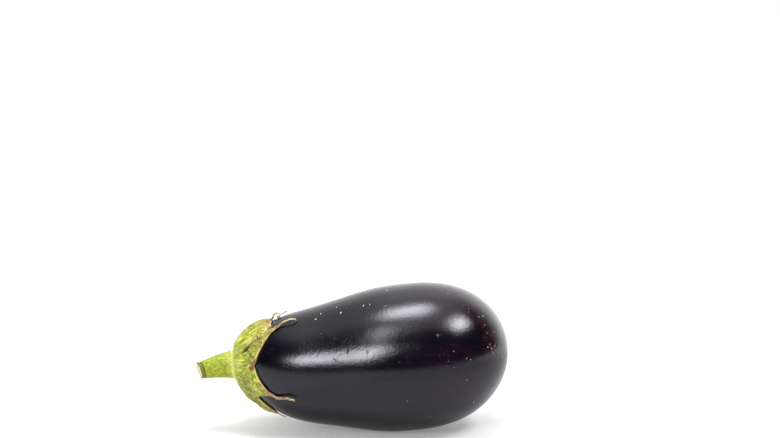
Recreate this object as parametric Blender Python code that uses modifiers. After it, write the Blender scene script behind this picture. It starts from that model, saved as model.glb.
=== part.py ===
"""A picked eggplant lying on its side, in three pieces: the dark glossy fruit, the green lobed
calyx that caps its neck, and the cut stem that stands in the middle of the calyx.

Metres, with +Z up. The origin is the middle of the flat spot that the fruit rests on, and
+X runs from the stem towards the blossom end.
"""

import math
from collections import namedtuple

import bmesh
import bpy
from mathutils import Matrix, Vector

MM = 0.001

# The fruit, measured along its own axis, with x = 0 where the stem joins it
FRUIT_RADIUS = 44.2 * MM
NECK_LENGTH = 104.5 * MM
BLOSSOM_LENGTH = 58 * MM
SHOULDER_POWER = 2.3
BLOSSOM_POWER = 2.38
WAIST_DEPTH = 0.07
WAIST_POWER = 4
NECK_RISE = 6.2 * MM
NECK_DRIFT = 1.5 * MM
NECK_BEND_REACH = 50 * MM
BLOSSOM_RISE = 1.8 * MM
BLOSSOM_BEND_START = 75 * MM
BLOSSOM_DIMPLE = 0.7 * MM
BLOSSOM_DIMPLE_WIDTH = 0.09
FRUIT_SIDES = 64
FRUIT_RINGS = 38

# How it lies: the neck end dips until the fruit's weight is over the flat spot
TILT = math.radians(5.2)
FLAT_DEPTH = 0.55 * MM

# Gentle swellings round the fruit: waves round it, share of its radius, phase, and twist along it
Swelling = namedtuple("Swelling", "waves share phase twist")
SWELLINGS = (
    Swelling(2, 0.011, 0.4, 0.7),
    Swelling(3, 0.008, 2.2, -1.1),
    Swelling(5, 0.003, 1.0, 2.0),
)

# The calyx, a fleshy sheet round the stem that splits into pointed lobes with dry thread-like tips
SKIN_GAP = 0.4 * MM
CALYX_HOLE = 7.2 * MM
FLESH_THICKNESS = 4.8 * MM
MARGIN_THICKNESS = 1.1 * MM
THREAD_THICKNESS = 0.8 * MM
THREAD_HALF_WIDTH = 0.65 * MM
THREAD_NARROWING = 0.35
LOBE_COLUMNS = 10
CROWN_ROWS = 6
FLESH_ROWS = 8
THREAD_ROWS = 12

# A lobe: the valley on its first side, as degrees round the fruit from the top towards -Y, at the
# stem and at its end, and how far over the skin from the stem it ends. Then how far the rows
# between its valleys bow out, the fleshy point, how fast the lobe narrows to it, and the thread
# past it as places, each the distance over the skin past the point, degrees sideways, and lift.
Lobe = namedtuple("Lobe", "crown valley valley_reach bow point point_reach taper thread")
LOBES = (
    Lobe(-52, -46, 22, -2, -6, 35.1, 1.3, ((0.8, 0, 0.3), (1.9, 0, 1.5), (3.0, 0.3, 2.1), (4.0, 0.9, 1.4), (4.6, 1.8, 0.4),
                                          (5.6, 1.6, 0.2), (7.2, 0.6, 0.6), (9.6, 0, 1.3))),
    Lobe(52, 26, 34.4, -6, 26, 38.5, 1.5, ((1.9, -2.2, 0.5), (4.2, -3.2, 1.3), (7, -3.3, 1.8), (9.5, -3.5, 1.8),
                                             (11, -3.6, 1.1), (11.6, -3.5, 0.4))),
    Lobe(80, 78, 20.8, 0.5, 115, 32.2, 2.0, ((2.9, 0.8, 0.7), (6.5, -2.2, 1.4), (9.7, -3.8, 1.8), (12.4, -3.4, 1.6),
                                             (14, -2.9, 1.4))),
    Lobe(146, 143, 20.6, 1, 164, 33.4, 0.9, ((1.5, 0, 0.1), (3, 0, 0.2), (4.8, -3, 0.1))),
    Lobe(203, 205, 21, 1.5, 229, 34, 1.3, ((3, 2, 1.0), (6, 4, 2.2), (9, 3, 2.6), (12, 0, 1.6))),
    Lobe(256, 260, 24, 1.5, 287, 33, 1.4, ((2.5, -2, 0.8), (5, -5, 1.9), (8, -6, 1.4), (10.5, -4, 0.8))),
)

# The stem, from its foot in the calyx to the cut
STEM_LENGTH = 24.0 * MM
STEM_FLARE_RADIUS = 9.35 * MM
STEM_CUT_RADIUS = 4.9 * MM
STEM_FLARE_POWER = 1.12
STEM_FOOT_LIFT = 0.4 * MM
STEM_FOOT_TAPER = 2.5 * MM
STEM_FOOT_DEPTH = 4.6 * MM
STEM_SAG = 1.0 * MM
STEM_SWING = 4.8 * MM
STEM_BEND_POWER = 1.6
STEM_RIDGES = 5
STEM_RIDGE_HEIGHT = 0.3 * MM
STEM_TWIST = 0.5
CUT_SLANT = math.radians(7)
STEM_SIDES = 30
STEM_RINGS = 14

SKIN_COLOUR = (0.012, 0.007, 0.014, 1)
CALYX_COLOUR = (0.42, 0.48, 0.07, 1)
STEM_COLOUR = (0.40, 0.47, 0.06, 1)


def swelling(polar, around):
    """The fruit's radius as a share of a plain turned shape, the same at both ends."""
    waves = sum(s.share * math.cos(s.waves * around + s.phase + s.twist * polar) for s in SWELLINGS)
    return 1 + waves * math.sin(polar) ** 2


def skin(polar, around):
    """A point on the skin. polar runs from 0 at the stem to pi at the blossom end, and around
    from the top towards -Y."""
    reach = math.cos(polar)
    if reach > 0:
        waist = 1 - WAIST_DEPTH * (4 * reach * (1 - reach)) ** WAIST_POWER
        along = NECK_LENGTH * (1 - reach)
        radius = FRUIT_RADIUS * math.sqrt(1 - reach**SHOULDER_POWER) * waist
    else:
        dimple = BLOSSOM_DIMPLE * math.exp(-(((math.pi - polar) / BLOSSOM_DIMPLE_WIDTH) ** 2))
        along = NECK_LENGTH - BLOSSOM_LENGTH * reach - dimple
        radius = FRUIT_RADIUS * math.sqrt(1 - (-reach) ** BLOSSOM_POWER)
    radius *= swelling(polar, around)
    neck_bend = max(0.0, 1 - along / NECK_BEND_REACH) ** 2
    blossom_bend = max(0.0, along - BLOSSOM_BEND_START) / (NECK_LENGTH + BLOSSOM_LENGTH - BLOSSOM_BEND_START)
    rise = NECK_RISE * neck_bend + BLOSSOM_RISE * blossom_bend**2
    across = -radius * math.sin(around) - NECK_DRIFT * neck_bend
    return Vector((along, across, radius * math.cos(around) + rise))


def skin_normal(polar, around):
    """The direction straight out of the skin."""
    step = 1e-3
    polar = max(polar, 2 * step)
    lengthways = skin(polar + step, around) - skin(polar - step, around)
    sideways = skin(polar, around + step) - skin(polar, around - step)
    return sideways.cross(lengthways).normalized()


def skin_distances(steps=180):
    """Distance over the skin from the stem, along the top, at each step of half a turn."""
    places = [skin(math.pi * i / steps, 0) for i in range(steps + 1)]
    distances = [0.0]
    for here, there in zip(places, places[1:]):
        distances.append(distances[-1] + (there - here).length)
    return distances


DISTANCES = skin_distances()


def polar_at(distance):
    """The polar angle that lies this far over the skin from the stem."""
    step = math.pi / (len(DISTANCES) - 1)
    for i, (near, far) in enumerate(zip(DISTANCES, DISTANCES[1:])):
        if distance <= far:
            return step * (i + (distance - near) / (far - near))
    return math.pi


def over_skin(distance, around, lift):
    """A point at this distance from the stem and this far off the skin."""
    polar = polar_at(distance)
    return skin(polar, around) + skin_normal(polar, around) * lift


def smooth_path(places, share):
    """A point on the smooth curve through the places, at a share of the way from the first to the last."""
    spans = len(places) - 1
    span = min(int(share * spans), spans - 1)
    t = share * spans - span
    before, start = places[max(span - 1, 0)], places[span]
    end, after = places[span + 1], places[min(span + 2, spans)]
    return [
        b + 0.5 * t * ((c - a) + t * ((2 * a - 5 * b + 4 * c - d) + t * (3 * b - a - 3 * c + d)))
        for a, b, c, d in zip(before, start, end, after)
    ]


def mix(a, b, share):
    return a + (b - a) * share


def new_object(name, mesh, colour, roughness, parent):
    """A named object of this mesh, with its own material, in the eggplant's collection."""
    material = bpy.data.materials.new(name)
    material.use_nodes = True
    surface = material.node_tree.nodes["Principled BSDF"]
    surface.inputs["Base Color"].default_value = colour
    surface.inputs["Roughness"].default_value = roughness
    surface.inputs["Metallic"].default_value = 0
    material.diffuse_color = colour
    mesh.materials.append(material)
    mesh.shade_smooth()
    obj = bpy.data.objects.new(name, mesh)
    obj.parent = parent
    parent.users_collection[0].objects.link(obj)
    return obj


def mesh_from(bm, name):
    mesh = bpy.data.meshes.new(name)
    bm.to_mesh(mesh)
    bm.free()
    return mesh


def build_fruit(parent):
    """A sphere whose points are moved to the skin, with the flat spot cut under it. It returns
    the fruit and the middle of the flat spot, in the fruit's own axes."""
    bm = bmesh.new()
    turn = Matrix.Rotation(-math.pi / 2, 4, "Y")
    bmesh.ops.create_uvsphere(
        bm, u_segments=FRUIT_SIDES, v_segments=FRUIT_RINGS, radius=1, matrix=turn
    )
    for vertex in bm.verts:
        place = vertex.co
        polar = math.acos(max(-1.0, min(1.0, -place.x)))
        vertex.co = skin(polar, math.atan2(-place.y, place.z))

    down = Vector((-math.sin(TILT), 0, -math.cos(TILT)))
    lowest = max(vertex.co.dot(down) for vertex in bm.verts)
    whole = bm.verts[:] + bm.edges[:] + bm.faces[:]
    cut = bmesh.ops.bisect_plane(
        bm, geom=whole, dist=1e-7, plane_co=down * (lowest - FLAT_DEPTH), plane_no=down, clear_outer=True
    )
    rim = [edge for edge in cut["geom_cut"] if isinstance(edge, bmesh.types.BMEdge)]
    flat = bmesh.ops.contextual_create(bm, geom=rim)["faces"][0]
    rest_point = flat.calc_center_bounds()
    bmesh.ops.recalc_face_normals(bm, faces=bm.faces[:])
    fruit = new_object("fruit", mesh_from(bm, "fruit"), SKIN_COLOUR, 0.22, parent)
    return fruit, rest_point


def lobe_row(lobe, following, row):
    """The points of one row across a lobe, from its first margin to the other, each with the
    calyx's thickness there. Rows run from the stem's hole to the end of the thread."""
    crown = min(1.0, row / CROWN_ROWS)
    flesh = min(1.0, max(0.0, (row - CROWN_ROWS) / FLESH_ROWS))
    thread = max(0.0, (row - CROWN_ROWS - FLESH_ROWS) / THREAD_ROWS)

    first = mix(lobe.crown, lobe.valley, crown)
    last = mix(following.crown, following.valley, crown)
    if following.valley < lobe.valley:
        last += 360
    point_reach = lobe.point_reach * MM
    thread_angle = THREAD_HALF_WIDTH / skin(polar_at(point_reach), math.radians(lobe.point)).yz.length
    thread_angle *= 1 - THREAD_NARROWING * thread
    narrowing = (1 - flesh) ** lobe.taper
    past, sideways, lift = smooth_path([(0.0, 0.0, 0.0), *lobe.thread], thread)

    points = []
    for column in range(LOBE_COLUMNS + 1):
        across = 2 * column / LOBE_COLUMNS - 1
        valley_reach = mix(lobe.valley_reach, following.valley_reach, (across + 1) / 2) * MM
        base = mix(CALYX_HOLE, valley_reach + lobe.bow * MM * (1 - across**2), crown)
        reach = mix(base, point_reach, flesh) + past * MM
        around = lobe.point + (mix(first, last, (across + 1) / 2) - lobe.point) * narrowing
        around = math.radians(around + sideways) + across * thread_angle * (1 - narrowing)
        share = min(1.0, reach / point_reach)
        body = mix(FLESH_THICKNESS, THREAD_THICKNESS, share**4)
        rim = min(body, MARGIN_THICKNESS)
        thickness = mix(body, rim, abs(across) ** 2.5 * crown**2)
        points.append((over_skin(reach, around, SKIN_GAP + lift * MM), thickness))
    return points


def build_calyx(parent):
    """The lobes as one open sheet just off the skin, joined along the valleys, and thickened outwards."""
    bm = bmesh.new()
    weight = bm.verts.layers.deform.verify()
    for lobe, following in zip(LOBES, LOBES[1:] + LOBES[:1]):
        rows = []
        for row in range(CROWN_ROWS + FLESH_ROWS + THREAD_ROWS + 1):
            vertices = []
            for place, thickness in lobe_row(lobe, following, row):
                vertex = bm.verts.new(place)
                vertex[weight][0] = thickness / FLESH_THICKNESS
                vertices.append(vertex)
            rows.append(vertices)
        for near, far in zip(rows, rows[1:]):
            for i in range(LOBE_COLUMNS):
                bm.faces.new((near[i], near[i + 1], far[i + 1], far[i]))
    bmesh.ops.remove_doubles(bm, verts=bm.verts[:], dist=1e-6)

    calyx = new_object("calyx", mesh_from(bm, "calyx"), CALYX_COLOUR, 0.5, parent)
    calyx.vertex_groups.new(name="thickness")
    thicken = calyx.modifiers.new("thickness", "SOLIDIFY")
    thicken.thickness = FLESH_THICKNESS
    thicken.offset = 1
    thicken.vertex_group = "thickness"
    thicken.thickness_vertex_group = 0
    return calyx


def stem_centre(share):
    """The stem's middle line, from its foot over the fruit's end to the cut, bending down and
    towards -Y."""
    foot = skin(0, 0)
    foot.x -= STEM_FOOT_LIFT
    bend = share**STEM_BEND_POWER
    return foot + Vector((-STEM_LENGTH * share, -STEM_SWING * bend, -STEM_SAG * bend))


def stem_radius(share, around):
    """The radius at a share of the stem's length: a foot that widens inside the calyx, then a
    taper to the cut, with rounded ridges along it."""
    radius = mix(STEM_CUT_RADIUS, STEM_FLARE_RADIUS, (1 - share) ** STEM_FLARE_POWER)
    buried = max(0.0, 1 - share * STEM_LENGTH / STEM_FOOT_DEPTH)
    ridges = STEM_RIDGE_HEIGHT * math.cos(STEM_RIDGES * (around + STEM_TWIST * share))
    return radius - STEM_FOOT_TAPER * buried + ridges * (1 - buried)


def build_stem(parent):
    """A cylinder whose points are moved to the stem's surface."""
    bm = bmesh.new()
    bmesh.ops.create_cone(
        bm, cap_ends=True, segments=STEM_SIDES, radius1=1, radius2=1, depth=1,
        matrix=Matrix.Translation((0, 0, 0.5)),
    )
    upright = [edge for edge in bm.edges if abs(edge.verts[0].co.z - edge.verts[1].co.z) > 0.5]
    bmesh.ops.subdivide_edges(bm, edges=upright, cuts=STEM_RINGS - 1, use_grid_fill=True)
    step = 1e-3
    for vertex in bm.verts:
        share, around = vertex.co.z, math.atan2(-vertex.co.y, vertex.co.x)
        centre = stem_centre(share)
        along = (stem_centre(share + step) - centre).normalized()
        side = Vector((0, 0, 1)).cross(along).normalized()
        up = along.cross(side)
        spoke = up * math.cos(around) + side * math.sin(around)
        radius = stem_radius(share, around)
        slant = radius * math.cos(around) * math.tan(CUT_SLANT) * share**4
        vertex.co = centre + spoke * radius + along * slant
    bm.normal_update()
    bmesh.ops.recalc_face_normals(bm, faces=bm.faces[:])
    return new_object("stem", mesh_from(bm, "stem"), STEM_COLOUR, 0.55, parent)


def clear_scene():
    for obj in list(bpy.data.objects):
        bpy.data.objects.remove(obj)


def build_eggplant():
    """The three pieces on one empty, which tilts them and puts the flat spot at the origin."""
    collection = bpy.data.collections.new("eggplant")
    bpy.context.scene.collection.children.link(collection)
    lying = bpy.data.objects.new("lying", None)
    collection.objects.link(lying)
    fruit, rest_point = build_fruit(lying)
    build_calyx(lying)
    build_stem(lying)
    lying.rotation_euler.y = -TILT
    lying.location = -(Matrix.Rotation(-TILT, 3, "Y") @ rest_point)


clear_scene()
build_eggplant()
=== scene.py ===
"""The looks of a picked eggplant that lies on a pale floor: finer skin, calyx and stem in place of
the frame's solids, with their marks, specks and freckles, under soft studio light.

Metres, with +Z up. The origin is the middle of the flat spot that the fruit rests on, and +X runs
from the stem towards the blossom end.
"""

import math
from collections import namedtuple

import bmesh
import bpy
import numpy as np
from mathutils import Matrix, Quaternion, Vector, noise


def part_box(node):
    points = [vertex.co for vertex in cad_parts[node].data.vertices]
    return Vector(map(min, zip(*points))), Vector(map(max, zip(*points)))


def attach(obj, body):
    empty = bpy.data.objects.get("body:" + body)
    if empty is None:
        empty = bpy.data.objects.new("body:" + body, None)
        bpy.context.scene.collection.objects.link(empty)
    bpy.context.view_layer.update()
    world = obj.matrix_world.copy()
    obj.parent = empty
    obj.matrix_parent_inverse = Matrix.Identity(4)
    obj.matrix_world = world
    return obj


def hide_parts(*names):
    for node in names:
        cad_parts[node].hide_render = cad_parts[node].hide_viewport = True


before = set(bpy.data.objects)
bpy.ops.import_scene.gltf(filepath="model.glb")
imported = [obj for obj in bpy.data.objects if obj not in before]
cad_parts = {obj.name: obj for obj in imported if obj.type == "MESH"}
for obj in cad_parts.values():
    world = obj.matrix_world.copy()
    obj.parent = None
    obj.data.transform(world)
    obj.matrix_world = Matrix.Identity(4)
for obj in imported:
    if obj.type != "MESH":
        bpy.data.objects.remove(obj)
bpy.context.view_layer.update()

MM = 0.001

# The fruit, measured along its own axis, with x = 0 where the stem joins it
FRUIT_RADIUS = 44.2 * MM
NECK_LENGTH = 104.5 * MM
BLOSSOM_LENGTH = 58 * MM
SHOULDER_POWER = 2.3
BLOSSOM_POWER = 2.38
WAIST_DEPTH = 0.07
WAIST_POWER = 4
NECK_RISE = 6.2 * MM
NECK_DRIFT = 1.5 * MM
NECK_BEND_REACH = 50 * MM
BLOSSOM_RISE = 1.8 * MM
BLOSSOM_BEND_START = 75 * MM
BLOSSOM_DIMPLE = 0.7 * MM
BLOSSOM_DIMPLE_WIDTH = 0.09
TILT = math.radians(5.2)
FRUIT_SIDES = 288
FRUIT_RINGS = 200

# Gentle swellings round the fruit: waves round it, share of its radius, phase, and twist along it
Swelling = namedtuple("Swelling", "waves share phase twist")
SWELLINGS = (
    Swelling(2, 0.011, 0.4, 0.7),
    Swelling(3, 0.008, 2.2, -1.1),
    Swelling(5, 0.003, 1, 2),
)

# The calyx: the same lobes as the solid's, with more rows and a rounder thread
SKIN_GAP = 0.4 * MM
CALYX_HOLE = 7.2 * MM
FLESH_THICKNESS = 4.8 * MM
MARGIN_THICKNESS = 1.1 * MM
THREAD_THICKNESS = 0.8 * MM
THREAD_ROOT_HALF_WIDTH = 0.9 * MM
THREAD_HALF_WIDTH = 0.52 * MM
THREAD_NARROWING = 0.35
LOBE_COLUMNS = 40
CROWN_ROWS = 36
FLESH_ROWS = 46
THREAD_ROWS = 48
SHEET_ROWS = CROWN_ROWS + FLESH_ROWS + THREAD_ROWS + 1
WELD_DISTANCE = 2e-6
CALYX_FLOOR_GAP = 0.3 * MM
# The calyx's noise runs round a tube of this radius, and is drawn out along the fruit
NOISE_RADIUS = 22 * MM
NOISE_STRETCH = 0.55

# Where each lobe begins, in degrees round the crown and round its valley, how far the valley lies
# and how far the row to the next valley bows out, in mm; its point's degrees and distance; how fast
# it tapers; and its thread, in mm past the point, degrees sideways and mm off the skin
Lobe = namedtuple("Lobe", "crown valley valley_reach bow point point_reach taper thread")
LOBES = (
    Lobe(-52, -46, 22, -2, -6, 35.1, 1.3, (
        (0.8, 0, 0.3), (1.9, 0, 1.5), (3.3, 0.6, 2.1), (4.6, 1.8, 1.5), (4.5, 3.2, 0.6),
        (3.4, 4, 0.4), (5, 3.4, 0.7), (7.4, 2, 0.9), (10, 1, 1.3),
    )),
    Lobe(52, 26, 34.4, -6, 26, 38.5, 1.5, (
        (1.9, -2.2, 0.5), (4.2, -3.2, 1.3), (7, -3.3, 1.8), (9.5, -3.5, 1.8), (11, -3.6, 1.1),
        (11.6, -3.5, 0.4),
    )),
    Lobe(80, 78, 20.8, 0.5, 115, 32.2, 2, (
        (2.9, 0.8, 0.7), (6.5, -2.2, 1.4), (9.7, -3.8, 1.8), (12.4, -3.4, 1.6), (14, -2.9, 1.4),
    )),
    Lobe(146, 143, 20.6, 1, 164, 33.4, 0.9, ((1.5, 0, 0.1), (3, 0, 0.2), (4.8, -3, 0.1))),
    Lobe(203, 205, 21, 1.5, 229, 34, 1.3, ((3, 2, 1), (6, 4, 2.2), (9, 3, 2.6), (12, 0, 1.6))),
    Lobe(256, 260, 24, 1.5, 287, 33, 1.4, ((2.5, -2, 0.8), (5, -5, 1.9), (8, -6, 1.4), (10.5, -4, 0.8))),
)
# How stout each lobe's thread is at its root
THREAD_STOUTNESS = (1.6, 1, 1, 1, 1.2, 1.2)
# The lobe that the one before it lies over, and how many degrees their shared edge bows
FOLD_LOBE = 1
FOLD_BOW = 6

# The calyx's relief, in millimetres over its smooth flesh
COLLAR_RISE = 2.6
COLLAR_WIDTH = 1.7
COLLAR_PULL_REACH = 3.6
COLLAR_OVERLAP = 0.25
RELIEF_BED = -0.3
MIDRIB_RISE = 0.4
VEIN_RISE = 0.15
VALLEY_DEPTH = 0.4
FOLD_LIP = 0.7
FOLD_DEPTH = 1.3
BRUISE_DEPTH = 0.8
SINUS_FILL = 0.8
LEAST_THICKNESS = 0.5

# The widths of midrib and valleys as shares of half a lobe, and the veins' waves across it
MIDRIB_WIDTH = 0.15
VALLEY_WIDTH = 0.22
VEIN_WAVES = 15

# Noise on the surfaces, in rows of height in mm, scale, seed and stretch
SKIN_LUMPS = ((0.05, 55, 3.1, (0.7, 1, 1)), (0.02, 130, 8.4, (1, 1, 1)))
CALYX_WRINKLES = ((0.44, 520, 2), (0.22, 1150, 7), (0.6, 210, 1))
STEM_WRINKLES = ((0.16, 5.5, 4, (1, 1, 0.5)), (0.1, 14, 9, (1, 1, 0.4)))
COLLAR_WRINKLES = ((0.14, 22, 1, (1, 1, 0.15)),)

# Broad humps and hollows of the calyx: distance in mm, degrees round, radius and height in mm
HUMPS = (
    (14.5, 4, 4.5, 0.6), (24, -8, 5, 0.5), (15, 125, 6.5, -0.9), (19.5, 62, 3.6, -0.7),
    (17, 98, 3.4, -0.3), (13.5, 70, 2.6, 0.4), (25, 52, 3, 0.4), (25, 122, 3.4, 0.3),
    (16, 190, 5, 0.5), (22, 215, 4, -0.5), (15, 270, 4.5, 0.5), (24, 292, 4, 0.4), (18, -50, 4, -0.5),
    (25, 30, 2.4, -0.5),
)

# Dry brown places on the calyx: distance over the skin in mm, degrees round, radius in mm, strength
DRY_PATCHES = (
    (22.2, 77, 2.9, 1), (20, 82, 1.6, 0.7), (24, 68, 1.5, 0.8), (33.5, 1, 3.2, 0.75),
    (34.5, 26, 2.6, 0.6), (36, 25, 2.2, 0.8), (30.5, 113, 2.6, 0.7), (31.5, 164, 2.8, 0.8),
    (21, 143, 1.7, 0.7), (20.8, -46, 2.6, 0.7), (21, 205, 2.4, 0.9), (32, 229, 3, 0.8),
    (23.6, 260, 2.4, 0.7), (31, 287, 3, 0.8),
)
# Dark green bruises on the calyx, in the same way. The wide one at 161 degrees on the lower lobe is painted
# shade, not a bruise.
BRUISES_AND_PAINTED_SHADE = (
    (19.4, 47.5, 2.3, 0.9), (17.4, 44, 1.5, 0.6), (25, 103, 1.5, 0.5), (21.5, 98, 1.3, 0.3),
    (27.5, 34, 1.5, 0.7), (21, 161, 6, 0.65), (26, 46, 4.5, 0.45), (22, 235, 2.2, 0.6),
    (17, 290, 2.6, 0.6), (26, -20, 1.8, 0.5),
)

# The stem, from its foot in the calyx to the cut
STEM_LENGTH = 24 * MM
STEM_FLARE_RADIUS = 9.35 * MM
STEM_CUT_RADIUS = 4.9 * MM
STEM_FLARE_POWER = 1.12
STEM_FOOT_LIFT = 0.4 * MM
STEM_FOOT_TAPER = 2.5 * MM
STEM_FOOT_DEPTH = 4.6 * MM
STEM_SAG = 1 * MM
STEM_SWING = 4.8 * MM
STEM_BEND_POWER = 1.6
STEM_RIDGES = 5
STEM_RIDGE_HEIGHT = 0.3 * MM
STEM_TWIST = 0.5
CUT_SLANT = math.radians(7)
STEM_SIDES = 144
STEM_RINGS = 150
CUT_RINGS = 26
COLLAR_SHARE = 0.895
COLLAR_PINCH = 0.28 * MM
CUT_DISH = 0.35 * MM
CUT_RIM = 0.12 * MM
STEM_NOISE_LENGTH = 3.2

# Scratches in the skin: distance over it in mm, degrees round, half length and half width in mm,
# and lean in degrees
SCRATCHES = (
    (79.06, 56.9, 1.9, 0.3, 41.6), (82, 56.6, 2.4, 0.28, 60.5), (80.3, 67.5, 1.5, 0.26, 58),
    (133.8, 62.7, 1.1, 0.4, -74), (71.4, 71.9, 0.8, 0.2, -44), (72.5, 73.6, 0.8, 0.2, -57),
    (58.5, 61.9, 1.2, 0.16, -73), (146, 16.5, 0.5, 0.5, 0), (174.5, 93, 1.3, 0.2, 80),
    (120, 205, 3, 0.3, 40), (95, 260, 2.2, 0.28, -50), (60, 220, 1.6, 0.3, 70),
    (140, 300, 2, 0.25, 15),
)
# Round pits with a raised middle: distance in mm, degrees round, and radius in mm
RING_PITS = (
    (91.75, 69.9, 1.55), (110, 250, 1.6), (150, 170, 1.2),
)

# Corky specks that stand on the skin: distance in mm, degrees round, radius in mm, and tone, from
# 0 for white to 1 for rust brown
SPECKS = (
    (62.2, 26.5, 0.62, 0.05), (65.5, 19.8, 0.42, 0.1), (77.8, 26.9, 0.66, 0), (91.9, 25.3, 0.5, 0.05),
    (95.8, 26.1, 0.36, 0.1), (106.8, 8.6, 0.5, 0.1), (112.4, -11.9, 0.6, 0.05), (105, 30.5, 0.3, 0.2),
    (75.4, 16, 0.36, 0.1), (61, -12.4, 0.36, 0.1), (161.5, 43.1, 0.45, 0.35), (164.8, 39.9, 0.5, 0.3),
    (165.4, 51.4, 0.5, 0.6), (166.3, 60.8, 0.45, 0.5), (172.3, 57.7, 0.42, 0.8), (167.8, 73.6, 0.55, 0.7),
    (169.2, 78.5, 0.6, 0.8), (169.8, 83.5, 0.5, 0.9), (165.9, 76.7, 0.5, 0.6), (172.2, 76.6, 0.55, 0.8),
    (142.5, 76.6, 0.28, 0.1), (150.2, 83.9, 0.3, 0.1), (152.7, 85.8, 0.25, 0.1), (149, 103, 0.28, 0.1),
    (152.7, 131.3, 0.35, 0.15), (179.9, 96.8, 0.3, 0.1), (84, 215, 0.5, 0.1), (122, 280, 0.55, 0.1),
    (100, 300, 0.4, 0.2), (70, 330, 0.45, 0.1), (140, 320, 0.4, 0.2),
)
# Where rust brown specks crowd on a reddish patch: distance, degrees, radius in mm, and strength
RUSTY_PLACES = (
    (164, 48, 7, 0.7), (168.5, 66, 7, 0.9), (170, 80, 7.5, 1), (150, 245, 8, 0.7), (166, 230, 7, 0.8),
)
SPECK_DENSITY = 2600.0
SPECK_SEED = 4
SMALLEST_SPECK = 0.09 * MM
LARGEST_SPECK = 0.27 * MM
SPECK_FLATNESS = 0.4
# How thickly specks are strewn evenly, in clusters and where the skin is rusty. They keep off the
# underside and off the calyx's end of the fruit.
STREWN_EVENLY = 0.25
STREWN_CLUSTERS = 1.2
STREWN_RUSTY = 6
STREWN_LOWEST = 4 * MM
STREWN_START = 0.12

# The middle of the fruit, from which strewn specks point outwards, at its ends more lengthways
FRUIT_MIDDLE = (0.015, 0, 0.045)
FRUIT_BARREL = 0.03
END_LEAN = 0.9

# What calyx and stem share in how they take the light
TISSUE_SURFACE = {
    "Specular IOR Level": 0.3, "Subsurface Weight": 0.1, "Subsurface Radius": (0.6, 0.8, 0.2),
    "Subsurface Scale": 0.002,
}

# The camera that matches the photograph
CAMERA_PLACE = (-0.0290, -1.0912944, 0.2954452)
CAMERA_TURN = (81.32739, 0, -1.499252)
CAMERA_LENS = 85

# The soft boxes. Azimuth runs from -Y to +X, the head leans that way, and both are in degrees, like
# elevation. Width and height are in metres; sides, foot and head are the shares of them that fade.
LIGHT_DISTANCE = 1.3
LIGHT_AIM = (0, 0, 0.045)
Softbox = namedtuple("Softbox", "name azimuth elevation width height radiance sides foot head lean")
SOFTBOXES = (
    Softbox("soft box at the left", -24, 27, 0.5, 0.8, 25, 0.45, 0.3, 0.55, 45),
    Softbox("tall strip at the left", -24, 52, 0.48, 0.8, 8.5, 0.5, 0.5, 0.5, 0),
    Softbox("soft box at the right", 60, 53, 0.84, 0.6, 24, 0.45, 0.4, 0.5, 0),
    Softbox("soft box overhead", -36, 84, 0.64, 0.8, 22, 0.5, 0.5, 0.5, 0),
)
FLOOR_HALF_WIDTH = 6


def mix(a, b, share):
    return a + (b - a) * share


def smooth_step(value, low, high):
    share = np.clip((value - low) / (high - low), 0, 1)
    return share * share * (3 - 2 * share)


def swelling(polar, around):
    """The fruit's radius as a share of a plain turned shape, the same at both ends."""
    waves = sum(s.share * np.cos(s.waves * around + s.phase + s.twist * polar) for s in SWELLINGS)
    return 1 + waves * np.sin(polar) ** 2


def skin(polar, around):
    """Points on the skin, in the fruit's own axes. polar runs from 0 at the stem to pi at the
    blossom end, and around from the top towards -Y."""
    reach = np.cos(polar)
    to_neck = np.clip(reach, 0, 1)
    to_blossom = np.clip(-reach, 0, 1)
    waist = 1 - WAIST_DEPTH * (4 * to_neck * (1 - to_neck)) ** WAIST_POWER
    dimple = BLOSSOM_DIMPLE * np.exp(-(((math.pi - polar) / BLOSSOM_DIMPLE_WIDTH) ** 2))
    along = NECK_LENGTH * (1 - to_neck) + BLOSSOM_LENGTH * to_blossom - np.where(reach < 0, dimple, 0)
    neck_radius = np.sqrt(1 - to_neck**SHOULDER_POWER) * waist
    radius = FRUIT_RADIUS * np.where(reach > 0, neck_radius, np.sqrt(1 - to_blossom**BLOSSOM_POWER))
    radius = radius * swelling(polar, around)
    neck_bend = np.maximum(0, 1 - along / NECK_BEND_REACH) ** 2
    bend_length = NECK_LENGTH + BLOSSOM_LENGTH - BLOSSOM_BEND_START
    blossom_bend = np.maximum(0, along - BLOSSOM_BEND_START) / bend_length
    rise = NECK_RISE * neck_bend + BLOSSOM_RISE * blossom_bend**2
    across = -radius * np.sin(around) - NECK_DRIFT * neck_bend
    return np.stack((along, across, radius * np.cos(around) + rise), axis=-1)


def skin_normal(polar, around):
    """The directions straight out of the skin."""
    step = 1e-3
    polar = np.clip(polar, 2 * step, math.pi - 2 * step)
    lengthways = skin(polar + step, around) - skin(polar - step, around)
    sideways = skin(polar, around + step) - skin(polar, around - step)
    out = np.cross(sideways, lengthways)
    return out / np.linalg.norm(out, axis=-1, keepdims=True)


MERIDIAN = np.linspace(0, math.pi, 181)
MERIDIAN_STEPS = np.linalg.norm(np.diff(skin(MERIDIAN, np.zeros(181)), axis=0), axis=1)
DISTANCES = np.concatenate(([0], np.cumsum(MERIDIAN_STEPS)))


def polar_at(distance):
    """The polar angles that lie this far over the skin from the stem."""
    return np.interp(distance, DISTANCES, MERIDIAN)


def tilted(points):
    """Points turned from the fruit's own axes to how it lies."""
    x, y, z = points[..., 0], points[..., 1], points[..., 2]
    level = x * math.cos(TILT) - z * math.sin(TILT)
    return np.stack((level, y, x * math.sin(TILT) + z * math.cos(TILT)), axis=-1)


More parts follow.
